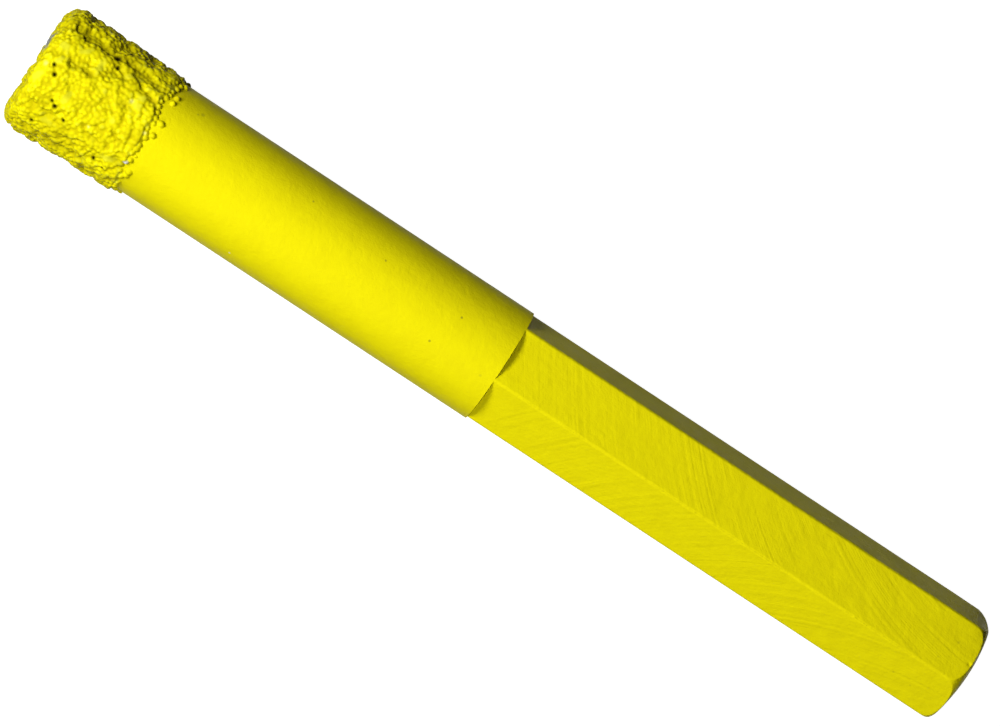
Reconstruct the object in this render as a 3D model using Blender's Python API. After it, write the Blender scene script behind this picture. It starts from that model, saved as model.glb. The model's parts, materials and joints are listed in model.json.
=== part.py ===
"""Diamond core drill bit with a hexagonal quick-change shank, lying along X on one flat of its shank.

The bit is two pieces. bit_body is turned and milled from one bar: a round tube with a blind bore and a
rounded rim, a turned shoulder where six flats stop, and the hexagonal shank with its crowned end. diamond_crown
is the brazed layer of diamond grit that wraps the rim of the tube outside, in front and a little way inside.

The origin is the centre of the shank's end, and the tip points along -X. Lengths are in metres.
"""

import math
import random

import bmesh
import bpy
from mathutils import Matrix, Vector

MM = 0.001

# Bar and shank
TOTAL_LENGTH = 65.0 * MM
BODY_RADIUS = 3.625 * MM
ACROSS_FLATS = 6.35 * MM
SHANK_LENGTH = 32.7 * MM
SHOULDER_ANGLE = math.radians(80)
END_LAND_RADIUS = 0.8 * MM
END_CROWN_RADIUS = 13.0 * MM
END_EDGE_RADIUS = 0.75 * MM

# Blind bore in the tip
BORE_RADIUS = 2.4 * MM
BORE_DEPTH = 29.0 * MM
BORE_POINT_ANGLE = math.radians(118)

# Diamond crown, measured over the tops of its grains
GRIT_LENGTH = 8.05 * MM
GRIT_INSIDE_LENGTH = 1.2 * MM
GRIT_AT_TIP = 0.47 * MM
GRIT_AT_REAR = 0.33 * MM
GRIT_ON_FACE = 0.50 * MM
GRIT_IN_BORE = 0.30 * MM
NOSE_LENGTH = 1.05 * MM
FACE_LAND = 0.395 * MM
MOUTH_ROUNDING = 0.25 * MM
GRAIN_DEPTH = 0.17 * MM
RAGGED_EDGE = 0.30 * MM
RAGGED_REACH = 2.2 * MM
BRAZE_GAP = 0.03 * MM
EDGE_LIP = 0.05 * MM

# How finely round forms are cut
BODY_SEGMENTS = 96
ARC_STEPS = 5
SHARP_ANGLE = math.radians(20)
MERGE_DISTANCE = 0.00001 * MM
GRIT_COLUMNS = 87
GRIT_SEED = 8
GRAIN_JITTER = 0.28
DEEPEST_SHARE = 0.6
LOW_POINT_SHARE = 0.7
EDGE_WAVES = (3, 7, 11, 16, 23)

# Finishes: linear colour, metallic, roughness
YELLOW_BODY = ((0.97, 0.87, 0.003, 1.0), 0.0, 0.50)
YELLOW_GRIT = ((0.93, 0.83, 0.003, 1.0), 0.0, 0.55)

APOTHEM = ACROSS_FLATS / 2
TIP_X = -TOTAL_LENGTH
RIM_X = TIP_X + GRIT_ON_FACE
SHOULDER_X = -SHANK_LENGTH
SHOULDER_RUN = BODY_RADIUS / math.tan(SHOULDER_ANGLE)
MOUTH_RADIUS = BORE_RADIUS - GRIT_IN_BORE

# The crown's rounded nose runs from its outer wall down to the flat land round the mouth of the bore
NOSE_CENTRE = (TIP_X + NOSE_LENGTH, MOUTH_RADIUS + MOUTH_ROUNDING + FACE_LAND)
NOSE_DEPTH = BODY_RADIUS + GRIT_AT_TIP - NOSE_CENTRE[1]


def clear_scene():
    for old in list(bpy.data.objects):
        bpy.data.objects.remove(old, do_unlink=True)


def make_material(name, finish):
    colour, metallic, roughness = finish
    material = bpy.data.materials.new(name)
    material.use_nodes = True
    shader = material.node_tree.nodes["Principled BSDF"]
    shader.inputs["Base Color"].default_value = colour
    shader.inputs["Metallic"].default_value = metallic
    shader.inputs["Roughness"].default_value = roughness
    return material


def add_object(name, bm, material=None):
    mesh = bpy.data.meshes.new(name)
    bm.to_mesh(mesh)
    bm.free()
    obj = bpy.data.objects.new(name, mesh)
    bpy.context.scene.collection.objects.link(obj)
    if material:
        mesh.materials.append(material)
    return obj


def arc(centre, reach_x, reach_r, start, end, steps):
    """Points of an elliptic arc in the (x, r) plane, both ends included; angles in radians from +x."""
    angles = [start + (end - start) * i / steps for i in range(steps + 1)]
    return [(centre[0] + reach_x * math.cos(a), centre[1] + reach_r * math.sin(a)) for a in angles]


def end_profile():
    """The shank's end from the bar's surface to its axis: a rounded edge, a shallow crown and a flat land."""
    land_centre_x = -math.sqrt(END_CROWN_RADIUS**2 - END_LAND_RADIUS**2)
    edge_centre_r = BODY_RADIUS - END_EDGE_RADIUS
    reach = END_CROWN_RADIUS - END_EDGE_RADIUS
    edge_centre_x = land_centre_x + math.sqrt(reach**2 - edge_centre_r**2)
    meeting = math.asin(edge_centre_r / reach)
    land = math.asin(END_LAND_RADIUS / END_CROWN_RADIUS)
    edge_centre = (edge_centre_x, edge_centre_r)
    edge = arc(edge_centre, END_EDGE_RADIUS, END_EDGE_RADIUS, math.pi / 2, meeting, ARC_STEPS)
    crown = arc((land_centre_x, 0.0), END_CROWN_RADIUS, END_CROWN_RADIUS, meeting, land, ARC_STEPS - 2)
    return edge + crown[1:] + [(0.0, 0.0)]


def rim_edge(gap):
    """The tube's rounded outer rim under the crown's nose, from face to wall, or a line a gap outside it."""
    reach_x = NOSE_LENGTH - GRIT_ON_FACE + gap
    reach_r = NOSE_DEPTH - GRIT_AT_TIP + gap
    return arc(NOSE_CENTRE, reach_x, reach_r, math.pi, math.pi / 2, ARC_STEPS - 1)


def bar_profile():
    """Half section of the turned bar, from the bottom of the bore round the rim to the shank's end."""
    bore_end = RIM_X + BORE_DEPTH
    drill_point = BORE_RADIUS / math.tan(BORE_POINT_ANGLE / 2)
    bore = [(bore_end + drill_point, 0.0), (bore_end, BORE_RADIUS), (RIM_X, BORE_RADIUS)]
    return bore + rim_edge(0.0) + end_profile()


def turned(profile, segments):
    """The solid that a half section sweeps round the X axis."""
    bm = bmesh.new()
    points = [bm.verts.new((x, 0.0, r)) for x, r in profile]
    edges = [bm.edges.new(pair) for pair in zip(points, points[1:])]
    round_x = {"cent": (0, 0, 0), "axis": (1, 0, 0), "angle": math.tau}
    bmesh.ops.spin(bm, geom=points + edges, steps=segments, use_merge=True, **round_x)
    bmesh.ops.remove_doubles(bm, verts=bm.verts, dist=MERGE_DISTANCE)
    bmesh.ops.recalc_face_normals(bm, faces=bm.faces)
    return bm


def add_cutter(name, bm):
    cutter = add_object(name, bm)
    cutter.hide_render = True
    cutter.display_type = "WIRE"
    return cutter


def shoulder_cone():
    """The cone that the flats stop against: it meets the bar's surface where the shank begins."""
    back = SHOULDER_X - SHOULDER_RUN
    profile = [(SHOULDER_X + SHOULDER_RUN, 0.0), (back, 2 * BODY_RADIUS), (back, 0.0)]
    return add_cutter("shoulder_cone", turned(profile, BODY_SEGMENTS))


def subtract(target, cutter, name):
    cut = target.modifiers.new(name, "BOOLEAN")
    cut.operation = "DIFFERENCE"
    cut.solver = "EXACT"
    cut.object = cutter


def flat_cutter(index, cone):
    """What is milled off over one flat: all that lies above it, from the shoulder's cone past the end."""
    start = SHOULDER_X - SHOULDER_RUN / 2
    past_end = 2 * BODY_RADIUS
    section = [(past_end, APOTHEM), (start, APOTHEM), (start, 2 * BODY_RADIUS), (past_end, 2 * BODY_RADIUS)]
    bm = bmesh.new()
    face = bm.faces.new([bm.verts.new((x, -BODY_RADIUS, z)) for x, z in section])
    swept = bmesh.ops.extrude_face_region(bm, geom=[face])["geom"]
    sides = [v for v in swept if isinstance(v, bmesh.types.BMVert)]
    bmesh.ops.translate(bm, verts=sides, vec=(0, 2 * BODY_RADIUS, 0))
    bmesh.ops.recalc_face_normals(bm, faces=bm.faces)
    bmesh.ops.rotate(bm, verts=bm.verts, matrix=Matrix.Rotation(index * math.tau / 6, 3, "X"))
    cutter = add_cutter(f"flat_cutter_{index + 1}", bm)
    subtract(cutter, cone, "shoulder")
    return cutter


def add_bit_body():
    bar = turned(bar_profile(), BODY_SEGMENTS)
    body = add_object("bit_body", bar, make_material("yellow_body", YELLOW_BODY))
    cone = shoulder_cone()
    cone.parent = body
    for index in range(6):
        cutter = flat_cutter(index, cone)
        cutter.parent = body
        subtract(body, cutter, f"flat_{index + 1}")
    body.data.shade_smooth()
    body.data.set_sharp_from_angle(angle=SHARP_ANGLE)
    return body


def grit_path():
    """The half section over the grains' tops: from the rear edge forward, round the nose, into the bore."""
    mouth_centre = (TIP_X + MOUTH_ROUNDING, MOUTH_RADIUS + MOUTH_ROUNDING)
    path = [(TIP_X + GRIT_LENGTH, BODY_RADIUS + GRIT_AT_REAR)]
    path += arc(NOSE_CENTRE, NOSE_LENGTH, NOSE_DEPTH, math.pi / 2, math.pi, 2 * ARC_STEPS)
    path += arc(mouth_centre, MOUTH_ROUNDING, MOUTH_ROUNDING, math.pi, 1.5 * math.pi, ARC_STEPS)
    return path + [(TIP_X + GRIT_INSIDE_LENGTH, MOUTH_RADIUS)]


def grit_stations():
    """Where the rows of the lattice cross the path, each with the path's direction and the way travelled.

    A row's spacing follows its radius, so that the lattice stays even, but is never finer than on the face.
    """
    path = grit_path()
    row_share = math.sqrt(3) / 2 * math.tau / GRIT_COLUMNS
    least_radius = (BODY_RADIUS + BORE_RADIUS) / 2
    stations = []
    travelled = next_stop = 0.0
    for (x0, r0), (x1, r1) in zip(path, path[1:]):
        length = math.dist((x0, r0), (x1, r1))
        along = ((x1 - x0) / length, (r1 - r0) / length)
        while next_stop <= travelled + length:
            step = next_stop - travelled
            place = (x0 + along[0] * step, r0 + along[1] * step)
            stations.append((place, along, next_stop))
            next_stop += row_share * max(place[1], least_radius)
        travelled += length
    return stations


def ragged_edge(seeded):
    """A wavy offset, from -1 to 1, that the crown's rear edge follows round the bit."""
    waves = [(count, seeded.uniform(0, math.tau)) for count in EDGE_WAVES]
    evened = 1 / math.sqrt(len(waves))
    return lambda angle: evened * sum(math.sin(count * angle + phase) for count, phase in waves)


def ring_angles(row):
    """Angles of one row of the lattice: every other row is turned by half a column."""
    return [math.tau * (column + row % 2 / 2) / GRIT_COLUMNS for column in range(GRIT_COLUMNS)]


def at_angle(x, radius, angle):
    return Vector((x, radius * math.sin(angle), radius * math.cos(angle)))


def grain_ring(row, station, ragged, seeded):
    """One row of grains: every third point stands up as a grain's tip and the others lie low round it."""
    (x, radius), along, travelled = station
    thickness = max(radius - BODY_RADIUS, RIM_X - x, BORE_RADIUS - radius)
    depth = min(GRAIN_DEPTH, DEEPEST_SHARE * thickness)
    outward = (along[1], -along[0])
    pull = max(0.0, 1 - travelled / RAGGED_REACH) ** 2 * RAGGED_EDGE
    column_width = math.tau * radius / GRIT_COLUMNS
    points = []
    for column, angle in enumerate(ring_angles(row)):
        is_grain = (column - row // 2 - row) % 3 == 0
        low = seeded.uniform(LOW_POINT_SHARE, 1)
        sink = depth * (seeded.uniform(0, LOW_POINT_SHARE) ** 2 if is_grain else low)
        slip = column_width * seeded.uniform(-GRAIN_JITTER, GRAIN_JITTER)
        turn = math.tau / GRIT_COLUMNS * seeded.uniform(-GRAIN_JITTER, GRAIN_JITTER)
        at_x = max(TIP_X, x - sink * outward[0] + slip * along[0])
        at_radius = radius - sink * outward[1] + slip * along[1]
        points.append(at_angle(at_x + pull * ragged(angle), at_radius, angle + turn))
    return points


def join_rings(bm, first, second, leans):
    """Triangles between two rings; leans says that the first ring lies half a column further round."""
    for column in range(GRIT_COLUMNS):
        following = (column + 1) % GRIT_COLUMNS
        a, b = first[column], first[following]
        c, d = second[column], second[following]
        bm.faces.new((a, b, d if leans else c))
        bm.faces.new((a, d, c) if leans else (b, d, c))


def add_diamond_crown():
    """A closed layer: rows of grains over the rim of the tube, then back along the seat on the tube."""
    seeded = random.Random(GRIT_SEED)
    ragged = ragged_edge(seeded)
    stations = grit_stations()
    last = len(stations) - 1
    outer_seat = BODY_RADIUS + BRAZE_GAP
    bore_seat = BORE_RADIUS - BRAZE_GAP
    rear_x = stations[0][0][0]
    mouth_x = stations[last][0][0]
    rear = [(rear_x + RAGGED_EDGE * ragged(angle), angle) for angle in ring_angles(0)]
    mouth = [(mouth_x, angle) for angle in ring_angles(last)]

    rings = [[at_angle(x, outer_seat + EDGE_LIP, angle) for x, angle in rear]]
    rings += [grain_ring(row, stations[row], ragged, seeded) for row in range(1, last)]
    rings.append([at_angle(x, bore_seat - EDGE_LIP, angle) for x, angle in mouth])
    rings.append([at_angle(x, bore_seat, angle) for x, angle in mouth])
    seat = [(RIM_X - BRAZE_GAP, bore_seat)] + rim_edge(BRAZE_GAP)
    rings += [[at_angle(x, radius, angle) for angle in ring_angles(0)] for x, radius in seat]
    rings.append([at_angle(x, outer_seat, angle) for x, angle in rear])

    bm = bmesh.new()
    rings = [[bm.verts.new(point) for point in ring] for ring in rings]
    for row, (first, second) in enumerate(zip(rings, rings[1:] + rings[:1])):
        leans = (row % 2 == 1 and row < last) or (row == last + 1 and last % 2 == 1)
        join_rings(bm, first, second, leans)
    bmesh.ops.recalc_face_normals(bm, faces=bm.faces)
    return add_object("diamond_crown", bm, make_material("yellow_grit", YELLOW_GRIT))


def main():
    clear_scene()
    add_bit_body()
    add_diamond_crown()


main()
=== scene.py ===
import json
import math

import bmesh
import bpy
import numpy as np
from mathutils import Matrix, Vector


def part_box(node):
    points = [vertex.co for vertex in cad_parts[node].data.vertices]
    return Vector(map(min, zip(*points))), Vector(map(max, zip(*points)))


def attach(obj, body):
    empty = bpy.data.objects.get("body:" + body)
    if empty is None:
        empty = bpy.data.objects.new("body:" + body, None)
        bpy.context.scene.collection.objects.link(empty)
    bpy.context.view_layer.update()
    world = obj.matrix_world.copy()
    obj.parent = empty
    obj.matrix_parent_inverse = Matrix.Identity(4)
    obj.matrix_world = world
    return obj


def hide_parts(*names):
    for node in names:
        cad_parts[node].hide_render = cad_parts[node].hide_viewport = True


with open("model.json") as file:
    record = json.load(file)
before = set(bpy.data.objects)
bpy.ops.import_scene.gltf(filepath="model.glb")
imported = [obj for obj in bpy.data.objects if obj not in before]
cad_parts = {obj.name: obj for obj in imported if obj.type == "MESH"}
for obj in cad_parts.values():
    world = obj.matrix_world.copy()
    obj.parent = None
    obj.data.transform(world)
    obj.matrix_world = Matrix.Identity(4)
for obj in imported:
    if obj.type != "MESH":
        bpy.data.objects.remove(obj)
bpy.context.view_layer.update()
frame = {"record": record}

MM = 0.001

# The bit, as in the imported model: it lies along X with its tip at -X, and its axis is the X axis
body_low, body_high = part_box("bit_body")
crown_low, crown_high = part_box("diamond_crown")
mount_places = {mount["name"]: mount["pos_m"] for mount in frame["record"]["mounts"]}
TIP_X = crown_low.x
RIM_X = body_low.x
END_X = body_high.x
LENGTH = END_X - TIP_X
BODY_RADIUS = body_high.y
APOTHEM = mount_places["shank_flat_top"][2]
FLATS = 6
FLAT_TURN = math.tau / FLATS
SHOULDER_X = -32.7 * MM
SHOULDER_ANGLE = math.radians(80)
END_CROWN_RADIUS = 13.0 * MM
END_EDGE_RADIUS = 0.75 * MM
BORE_RADIUS = 2.4 * MM
BORE_DEPTH = 29.0 * MM
BORE_BOTTOM_HALF_ANGLE = math.radians(59)

# How softly the body is rounded at its edges, and where the flats run out at the shoulder
EDGE_SOFTNESS = 0.025 * MM
SHOULDER_SOFTNESS = 0.03 * MM
# The body's columns: their usual step, and a finer one in the last part of the way to each corner
COLUMN_STEP = math.radians(0.75)
CORNER_STEP = math.radians(0.2)
CORNER_START = 0.85
# The steps of its rows: along the bore, round the rim, and round the small and the large arc of the end
BORE_STEP = 3.0 * MM
RIM_STEP = math.pi / 16
END_EDGE_STEP = 0.035 * MM
END_CROWN_STEP = 0.15 * MM
SHARP_ANGLE = math.radians(50)
# Small dents in the shank's end: distance from the end, distance across the upper flat, radius and depth
END_DENTS = (
    (0.56 * MM, 0.40 * MM, 0.11 * MM, 0.060 * MM),
    (0.60 * MM, 1.55 * MM, 0.09 * MM, 0.035 * MM),
)
# The shank's end is worn at one corner: how deep, over what length, round which angle and how far
END_WEAR = (0.70 * MM, 1.5 * MM, math.radians(-75), math.radians(48))
END_WEAR_POWER = 1.4

# The grit, measured over the tops of its grains
GRIT_LENGTH = 7.85 * MM
GRIT_SKIRT = 0.9 * MM
GRIT_AT_TIP = 0.47 * MM
GRIT_AT_REAR = 0.33 * MM
GRIT_IN_BORE = 0.30 * MM
GRIT_INSIDE_LENGTH = 1.2 * MM
NOSE_LENGTH = 1.05 * MM
NOSE_DEPTH = 1.35 * MM
MOUTH_ROUNDING = 0.25 * MM
SEAT_OVERLAP = 0.05 * MM

# The photograph's frame, and where it shows the middle of the tip and of the shank's end
FRAME_WIDTH, FRAME_HEIGHT = 1000, 726
TIP_PIXEL = (34.5, 59.5)
END_PIXEL = (967.4, 673.4)
# Marks are placed by pixels along the bit from a point at its tip, and across it towards the lower left
PICTURE_START = (32.87, 58.38)
PICTURE_ANGLE = math.radians(33.35)
# The size on the bit of one of its pixels
PIXEL = 0.058 * MM

# The camera: its distance from the tip, its turn round the bit from straight up towards the front, how far
# the shank's end leans away from it, its sensor in mm, and how near and how far it sees
CAMERA_DISTANCE = 0.60
TURN_FROM_FLAT = math.radians(16.0)
END_LEANS_AWAY = math.radians(3.5)
SENSOR_WIDTH = 36.0
CLIP_RANGE = (0.01, 20)


def wrapped(angle, period=math.tau):
    """The angle less whole periods, from half a period below zero to half a period above."""
    return (angle + period / 2) % period - period / 2


def spaced(start, end, step):
    """Numbers from start to end, both included, about a step apart."""
    return np.linspace(start, end, max(2, int(round(abs(end - start) / step)) + 1))


def soft_min(a, b, softness):
    """The lower of two heights, rounded where they cross."""
    blend = np.clip(0.5 + 0.5 * (b - a) / softness, 0.0, 1.0)
    return b * (1 - blend) + a * blend - softness * blend * (1 - blend)


def soft_max(a, b, softness):
    """The higher of two heights, rounded where they cross."""
    return -soft_min(-a, -b, softness)


def round_points(x, radius, angle):
    """Points from their place along X, their distance from the axis and their angle from +Z towards -Y."""
    return np.stack(np.broadcast_arrays(x, -radius * np.sin(angle), radius * np.cos(angle)), axis=-1)


def grid_mesh(name, points, wrap=False):
    """A closed mesh of rows of points that each go right round.

    The last row joins the first if wrap is set. Otherwise a face closes the first row, and one the last.
    """
    rows, columns = points.shape[:2]
    row, column = np.meshgrid(np.arange(rows if wrap else rows - 1), np.arange(columns), indexing="ij")
    next_row, next_column = (row + 1) % rows, (column + 1) % columns
    corners = (row * columns + column, row * columns + next_column,
               next_row * columns + next_column, next_row * columns + column)
    faces = np.stack(corners, axis=-1).reshape(-1, 4).tolist()
    if not wrap:
        faces.append(list(range(columns))[::-1])
        faces.append(list(range((rows - 1) * columns, rows * columns)))
    mesh = bpy.data.meshes.new(name)
    mesh.from_pydata(points.reshape(-1, 3).tolist(), [], faces)
    shape = bmesh.new()
    shape.from_mesh(mesh)
    bmesh.ops.recalc_face_normals(shape, faces=shape.faces)
    shape.to_mesh(mesh)
    shape.free()
    mesh.update()
    return mesh


def add_layer(mesh, name, values):
    """A number at each point of a mesh, for its material."""
    layer = mesh.attributes.new(name, "FLOAT", "POINT")
    layer.data.foreach_set("value", values.ravel())


def new_object(name, data):
    obj = bpy.data.objects.new(name, data)
    bpy.context.scene.collection.objects.link(obj)
    return obj


def camera_view():
    """The camera's place, its right, up and back directions, and its focal length in pixels."""
    near, far = CAMERA_DISTANCE, CAMERA_DISTANCE + LENGTH * math.sin(END_LEANS_AWAY)
    tip = Vector((TIP_PIXEL[0] - FRAME_WIDTH / 2, FRAME_HEIGHT / 2 - TIP_PIXEL[1]))
    end = Vector((END_PIXEL[0] - FRAME_WIDTH / 2, FRAME_HEIGHT / 2 - END_PIXEL[1]))
    run = end * far - tip * near
    focal = run.length / (LENGTH * math.cos(END_LEANS_AWAY))
    roll = math.atan2(run.y, run.x)
    x, y, z = Vector((1, 0, 0)), Vector((0, 1, 0)), Vector((0, 0, 1))
    facing = math.cos(TURN_FROM_FLAT) * z - math.sin(TURN_FROM_FLAT) * y
    across = math.sin(TURN_FROM_FLAT) * z + math.cos(TURN_FROM_FLAT) * y
    along = math.cos(END_LEANS_AWAY) * x + math.sin(END_LEANS_AWAY) * facing
    back = math.cos(END_LEANS_AWAY) * facing - math.sin(END_LEANS_AWAY) * x
    right = math.cos(roll) * along - math.sin(roll) * across
    up = math.sin(roll) * along + math.cos(roll) * across
    tip_offset = tip * near / focal
    eye = Vector((TIP_X, 0, 0)) + back * CAMERA_DISTANCE - right * tip_offset.x - up * tip_offset.y
    return eye, right, up, back, focal


def on_bit(along, across, radius):
    """The place that the picture shows, on a round of this radius: x, and the angle from +Z towards -Y."""
    eye, right, up, back, focal = camera_view()
    column = PICTURE_START[0] + along * math.cos(PICTURE_ANGLE) - across * math.sin(PICTURE_ANGLE)
    line = PICTURE_START[1] + along * math.sin(PICTURE_ANGLE) + across * math.cos(PICTURE_ANGLE)
    ray = right * (column - FRAME_WIDTH / 2) + up * (FRAME_HEIGHT / 2 - line) - back * focal
    # Where the ray first meets the round, from a quadratic equation, or passes nearest to it if it misses
    square = ray.y**2 + ray.z**2
    half_linear = eye.y * ray.y + eye.z * ray.z
    constant = eye.y**2 + eye.z**2 - radius**2
    steps = (-half_linear - math.sqrt(max(half_linear**2 - square * constant, 0.0))) / square
    place = eye + ray * steps
    return place.x, math.atan2(-place.y, place.z)


def on_body(along, across):
    """The point of the body that the picture shows, found step by step, as the flats lie below the round."""
    radius = BODY_RADIUS
    for _ in range(4):
        x, angle = on_bit(along, across, radius)
        if x > SHOULDER_X:
            radius = min(BODY_RADIUS, APOTHEM / math.cos(wrapped(angle, FLAT_TURN)))
    return x, -radius * math.sin(angle), radius * math.cos(angle)


def add_camera():
    """A long lens looking down on the bit, with its tip and its end at their places in the picture."""
    eye, right, up, back, focal = camera_view()
    data = bpy.data.cameras.new("camera")
    data.sensor_width = SENSOR_WIDTH
    data.lens = focal / FRAME_WIDTH * SENSOR_WIDTH
    data.clip_start, data.clip_end = CLIP_RANGE
    camera = new_object("camera", data)
    turn = Matrix((right, up, back)).transposed().to_4x4()
    camera.matrix_world = Matrix.Translation(eye) @ turn
    bpy.context.scene.camera = camera


class Nodes:
    """Short ways to add nodes to a tree. A value is a number, a colour or the output of another node."""

    def __init__(self, tree):
        self.tree = tree

    def feed(self, socket, value):
        if isinstance(value, bpy.types.NodeSocket):
            self.tree.links.new(value, socket)
        else:
            socket.default_value = value

    def add(self, kind, settings=None, inputs=None):
        """A new node with these settings. Its inputs go by name or by number."""
        node = self.tree.nodes.new(kind)
        for name, value in (settings or {}).items():
            setattr(node, name, value)
        for name, value in (inputs or {}).items():
            self.feed(node.inputs[name], value)
        return node

    def place(self):
        """The place of a point of the surface, in metres."""
        return self.add("ShaderNodeTexCoord").outputs["Object"]

    def attribute(self, name):
        return self.add("ShaderNodeAttribute", {"attribute_name": name}).outputs["Fac"]

    def math(self, operation, first, second=0.0, clamp=False):
        settings = {"operation": operation, "use_clamp": clamp}
        return self.add("ShaderNodeMath", settings, {0: first, 1: second}).outputs[0]

    def span(self, value, low, high, to_low=0.0, to_high=1.0):
        """value from low..high to to_low..to_high, smoothly and clamped."""
        inputs = {"Value": value, "From Min": low, "From Max": high, "To Min": to_low, "To Max": to_high}
        return self.add("ShaderNodeMapRange", {"interpolation_type": "SMOOTHSTEP"}, inputs).outputs[0]

    def noise(self, value, scale, detail=2.0, roughness=0.5, dimensions="3D"):
        """Noise over a place or, in 1D, over a number, with this many lumps to a metre."""
        inputs = {"Scale": scale, "Detail": detail, "Roughness": roughness}
        inputs["W" if dimensions == "1D" else "Vector"] = value
        return self.add("ShaderNodeTexNoise", {"noise_dimensions": dimensions}, inputs).outputs["Fac"]

    def mix(self, share, first, second):
        node = self.add("ShaderNodeMix", {"data_type": "RGBA"}, {"Factor": share, "A": first, "B": second})
        return node.outputs["Result"]

    def bump(self, height, depth, normal=None):
        """The normal over a relief of this depth, laid over another relief's normal if it is given."""
        node = self.add("ShaderNodeBump", inputs={"Height": height, "Distance": depth, "Strength": 1.0})
        if normal:
            self.feed(node.inputs["Normal"], normal)
        return node.outputs["Normal"]


def rgb(red, green, blue):
    """A colour in linear light."""
    return (red, green, blue, 1.0)


def grey(level):
    return rgb(level, level, level)


def new_material(name, values):
    """A material, short ways to add nodes to it, and its shader with these values."""
    material = bpy.data.materials.new(name)
    material.use_nodes = True
    shader = material.node_tree.nodes["Principled BSDF"]
    for socket, value in values.items():
        shader.inputs[socket].default_value = value
    return material, Nodes(material.node_tree), shader


# The coating. Its coat is a thin dull lacquer, which darkens the colour where a surface turns from the eye
COATING = {
    "Metallic": 0.0,
    "Specular IOR Level": 0.04,
    "Specular Tint": rgb(1.0, 0.9, 0.05),
    "Coat Weight": 1.0,
    "Coat Roughness": 0.5,
    "Coat IOR": 1.04,
    "Coat Tint": grey(0.88),
}
COATING_ROUGHNESS = (0.50, 0.55)
YELLOW = rgb(0.99, 0.885, 0.003)
DEEP_YELLOW = rgb(0.97, 0.86, 0.003)
DARK_SPECK = rgb(0.10, 0.08, 0.02)
WHITE_SPECK = rgb(1.0, 1.0, 0.9)
# Noise scales in lumps per metre, and depths: slight changes of colour, a fine dapple and slow waves
MOTTLE_SCALE = 900.0
MOTTLE_RANGE = (0.35, 0.65)
ROUGHNESS_RANGE = (0.3, 0.7)
DAPPLE_SCALE, DAPPLE_DEPTH = 2600.0, 0.048 * MM
WAVE_SCALE, WAVE_DEPTH = 750.0, 0.030 * MM
# The milling marks on a flat are arcs round a point beside it: where that lies along X, and how far off
MILL_CENTRE_X = 1.1 * MM
MILL_CENTRE_ACROSS = 19.2 * MM
MILL_SCALE, MILL_DEPTH = 2300.0, 0.060 * MM
# The noise's detail and roughness in the dapple and in the milling marks
DAPPLE_FINENESS = (4.0, 0.75)
MILL_FINENESS = (3.0, 0.6)
# The marks come and go in patches: the noise's range, and their strength at either end of it
MILL_PATCH_SCALE = 380.0
MILL_PATCHES = (0.35, 0.60, 0.1, 1.0)
# They begin behind the shoulder, and grow stronger from there to near the shank's end
MILL_START = (SHOULDER_X + 0.2 * MM, SHOULDER_X + 0.6 * MM)
MILL_GROWTH = (SHOULDER_X, END_X - 3 * MM, 0.42, 0.82)

# Specks on the body: place in the picture (along, across), radius in pixels and strength
DARK_SPECKS = (
    (486.7, 18.0, 1.3, 0.50), (500.8, -19.2, 1.3, 0.55), (406.0, -25.0, 1.2, 0.45),
    (313.0, -34.7, 1.2, 0.45), (548.0, 18.9, 1.6, 0.18), (173.3, -46.3, 2.2, 0.30),
    (169.0, -44.0, 1.4, 0.25), (1094.6, -21.0, 1.6, 0.20), (1085.0, 2.0, 1.2, 0.15),
    (1056.0, 39.5, 1.2, 0.18), (1077.5, 41.5, 1.2, 0.15),
)
WHITE_SPECKS = ((271.0, 54.4, 1.0, 0.8),)
# A speck has its full strength this far from its middle, and none from the second distance on, in its radii
SPECK_FADE = (0.4, 1.5)


def with_specks(nodes, place, colour):
    """The colour, with the specks that the picture shows."""
    for specks, paint in ((DARK_SPECKS, DARK_SPECK), (WHITE_SPECKS, WHITE_SPECK)):
        for along, across, size, strength in specks:
            ends = {0: place, 1: on_body(along, across)}
            away = nodes.add("ShaderNodeVectorMath", {"operation": "DISTANCE"}, ends).outputs["Value"]
            full, none = (reach * size * PIXEL for reach in SPECK_FADE)
            colour = nodes.mix(nodes.span(away, full, none, strength, 0.0), colour, paint)
    return colour


def milling_marks(nodes, place):
    """The heights of the arcs on the flats, in patches."""
    x = nodes.add("ShaderNodeSeparateXYZ", inputs={"Vector": place}).outputs["X"]
    from_x = nodes.math("SUBTRACT", x, MILL_CENTRE_X)
    from_side = nodes.math("ADD", nodes.attribute("across"), MILL_CENTRE_ACROSS)
    squares = [nodes.math("MULTIPLY", side, side) for side in (from_x, from_side)]
    distance = nodes.math("SQRT", nodes.math("ADD", *squares))
    arcs = nodes.noise(distance, MILL_SCALE, *MILL_FINENESS, "1D")
    patches = nodes.span(nodes.noise(place, MILL_PATCH_SCALE), *MILL_PATCHES)
    strength = nodes.math("MULTIPLY", nodes.span(x, *MILL_START), nodes.span(x, *MILL_GROWTH))
    return nodes.math("MULTIPLY", arcs, nodes.math("MULTIPLY", strength, patches))


def body_material():
    """Satin yellow coating over turned and milled steel."""
    material, nodes, shader = new_material("yellow_coating", COATING)
    place = nodes.place()
    mottle = nodes.noise(place, MOTTLE_SCALE, 3.0)
    colour = nodes.mix(nodes.span(mottle, *MOTTLE_RANGE), DEEP_YELLOW, YELLOW)
    nodes.feed(shader.inputs["Base Color"], with_specks(nodes, place, colour))
    nodes.feed(shader.inputs["Roughness"], nodes.span(mottle, *ROUGHNESS_RANGE, *COATING_ROUGHNESS))
    dapple = nodes.bump(nodes.noise(place, DAPPLE_SCALE, *DAPPLE_FINENESS), DAPPLE_DEPTH)
    waves = nodes.bump(nodes.noise(place, WAVE_SCALE), WAVE_DEPTH, dapple)
    nodes.feed(shader.inputs["Normal"], nodes.bump(milling_marks(nodes, place), MILL_DEPTH, waves))
    return material


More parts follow.
